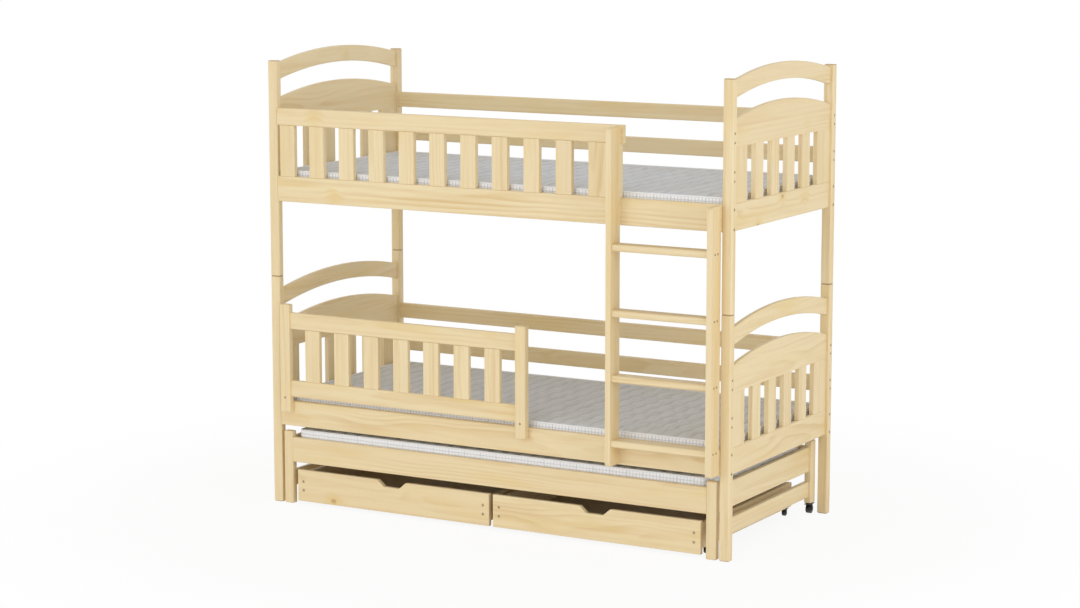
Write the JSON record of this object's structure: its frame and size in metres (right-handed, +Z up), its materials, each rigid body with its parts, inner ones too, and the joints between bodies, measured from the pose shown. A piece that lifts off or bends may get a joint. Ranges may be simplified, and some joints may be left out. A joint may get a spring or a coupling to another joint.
{
  "type": "bunk bed with trundle and drawers",
  "caption": "Pine bunk bed with arched ends, slatted guards, a side ladder, quilted mattresses, a pull-out trundle bed and rolling drawers with finger notches.",
  "frame": {"origin": "on the floor, at the middle of the bed's footprint with the ladder included", "axes": "+X along the bed to the right as seen from the front, +Y from the front to the back, +Z up"},
  "size_m": [1.98, 0.967, 1.7623],
  "materials": {
    "pine": "clear satin lacquer over pine, grain visible",
    "plywood": "plain thin plywood",
    "beech_pin": "turned, unfinished",
    "mattress_cover": "white quilted knit",
    "caster_fork": "black, satin",
    "caster_wheel": "black moulded plastic",
    "steel": "zinc plated"
  },
  "bodies": {
    "frame": {"ladder_stiles": "pine", "ladder_treads": "pine", "lower_arch_rails": "pine", "lower_back_guard_boards": "pine", "lower_bed_slats": "pine", "lower_end_boards": "pine", "lower_end_slats": "pine", "lower_front_side_rail": "pine", "lower_guard_boards": "pine", "lower_guard_slats": "pine", "lower_guard_uprights": "pine", "lower_left_posts": "pine", "lower_mattress": "mattress_cover", "lower_rear_side_rail": "pine", "lower_right_posts": "pine", "lower_slat_ledgers": "pine", "post_pins": "beech_pin", "upper_arch_rails": "pine", "upper_back_guard_boards": "pine", "upper_bed_slats": "pine", "upper_end_boards": "pine", "upper_end_slats": "pine", "upper_front_side_rail": "pine", "upper_guard_slats": "pine", "upper_guard_top_board": "pine", "upper_left_posts": "pine", "upper_mattress": "mattress_cover", "upper_rear_side_rail": "pine", "upper_right_posts": "pine", "upper_slat_ledgers": "pine"},
    "trundle": {"trundle_bed_slats": "pine", "trundle_caster_forks": "caster_fork", "trundle_end_rails": "pine", "trundle_end_stretchers": "pine", "trundle_front_legs": "pine", "trundle_front_rail": "pine", "trundle_mattress": "mattress_cover", "trundle_rear_legs": "pine", "trundle_rear_rail": "pine", "trundle_slat_ledgers": "pine"},
    "left_drawer": {"left_drawer_bottom": "plywood", "left_drawer_box": "pine", "left_drawer_caster_forks": "caster_fork", "left_drawer_front": "pine"},
    "right_drawer": {"right_drawer_bottom": "plywood", "right_drawer_box": "pine", "right_drawer_caster_forks": "caster_fork", "right_drawer_front": "pine"},
    "left_drawer_wheel_front_left": {"left_drawer_wheel_front_left": "caster_wheel"},
    "left_drawer_wheel_front_right": {"left_drawer_wheel_front_right": "caster_wheel"},
    "left_drawer_wheel_rear_left": {"left_drawer_wheel_rear_left": "caster_wheel"},
    "left_drawer_wheel_rear_right": {"left_drawer_wheel_rear_right": "caster_wheel"},
    "right_drawer_wheel_front_left": {"right_drawer_wheel_front_left": "caster_wheel"},
    "right_drawer_wheel_front_right": {"right_drawer_wheel_front_right": "caster_wheel"},
    "right_drawer_wheel_rear_left": {"right_drawer_wheel_rear_left": "caster_wheel"},
    "right_drawer_wheel_rear_right": {"right_drawer_wheel_rear_right": "caster_wheel"},
    "trundle_left_wheel": {"trundle_left_wheel": "caster_wheel"},
    "trundle_right_wheel": {"trundle_right_wheel": "caster_wheel"}
  },
  "joints": [
    {"name": "trundle_slide", "type": "slide", "parent": "frame", "child": "trundle", "axis": [0, -1, 0], "range_m": [0, 0.85]},
    {"name": "left_drawer_slide", "type": "slide", "parent": "frame", "child": "left_drawer", "axis": [0, -1, 0], "range_m": [0, 0.75]},
    {"name": "right_drawer_slide", "type": "slide", "parent": "frame", "child": "right_drawer", "axis": [0, -1, 0], "range_m": [0, 0.75]},
    {"name": "trundle_left_wheel_spin", "type": "hinge", "parent": "trundle", "child": "trundle_left_wheel", "pos_m": [-0.924, 0.4385, 0.017], "axis": [1, 0, 0], "continuous": true},
    {"name": "trundle_right_wheel_spin", "type": "hinge", "parent": "trundle", "child": "trundle_right_wheel", "pos_m": [0.924, 0.4385, 0.017], "axis": [1, 0, 0], "continuous": true},
    {"name": "left_drawer_wheel_front_left_spin", "type": "hinge", "parent": "left_drawer", "child": "left_drawer_wheel_front_left", "pos_m": [-0.86, -0.3275, 0.012], "axis": [1, 0, 0], "continuous": true},
    {"name": "left_drawer_wheel_front_right_spin", "type": "hinge", "parent": "left_drawer", "child": "left_drawer_wheel_front_right", "pos_m": [-0.025, -0.3275, 0.012], "axis": [1, 0, 0], "continuous": true},
    {"name": "left_drawer_wheel_rear_left_spin", "type": "hinge", "parent": "left_drawer", "child": "left_drawer_wheel_rear_left", "pos_m": [-0.86, 0.3485, 0.012], "axis": [1, 0, 0], "continuous": true},
    {"name": "left_drawer_wheel_rear_right_spin", "type": "hinge", "parent": "left_drawer", "child": "left_drawer_wheel_rear_right", "pos_m": [-0.025, 0.3485, 0.012], "axis": [1, 0, 0], "continuous": true},
    {"name": "right_drawer_wheel_front_left_spin", "type": "hinge", "parent": "right_drawer", "child": "right_drawer_wheel_front_left", "pos_m": [0.025, -0.3275, 0.012], "axis": [1, 0, 0], "continuous": true},
    {"name": "right_drawer_wheel_front_right_spin", "type": "hinge", "parent": "right_drawer", "child": "right_drawer_wheel_front_right", "pos_m": [0.86, -0.3275, 0.012], "axis": [1, 0, 0], "continuous": true},
    {"name": "right_drawer_wheel_rear_left_spin", "type": "hinge", "parent": "right_drawer", "child": "right_drawer_wheel_rear_left", "pos_m": [0.025, 0.3485, 0.012], "axis": [1, 0, 0], "continuous": true},
    {"name": "right_drawer_wheel_rear_right_spin", "type": "hinge", "parent": "right_drawer", "child": "right_drawer_wheel_rear_right", "pos_m": [0.86, 0.3485, 0.012], "axis": [1, 0, 0], "continuous": true}
  ]
}
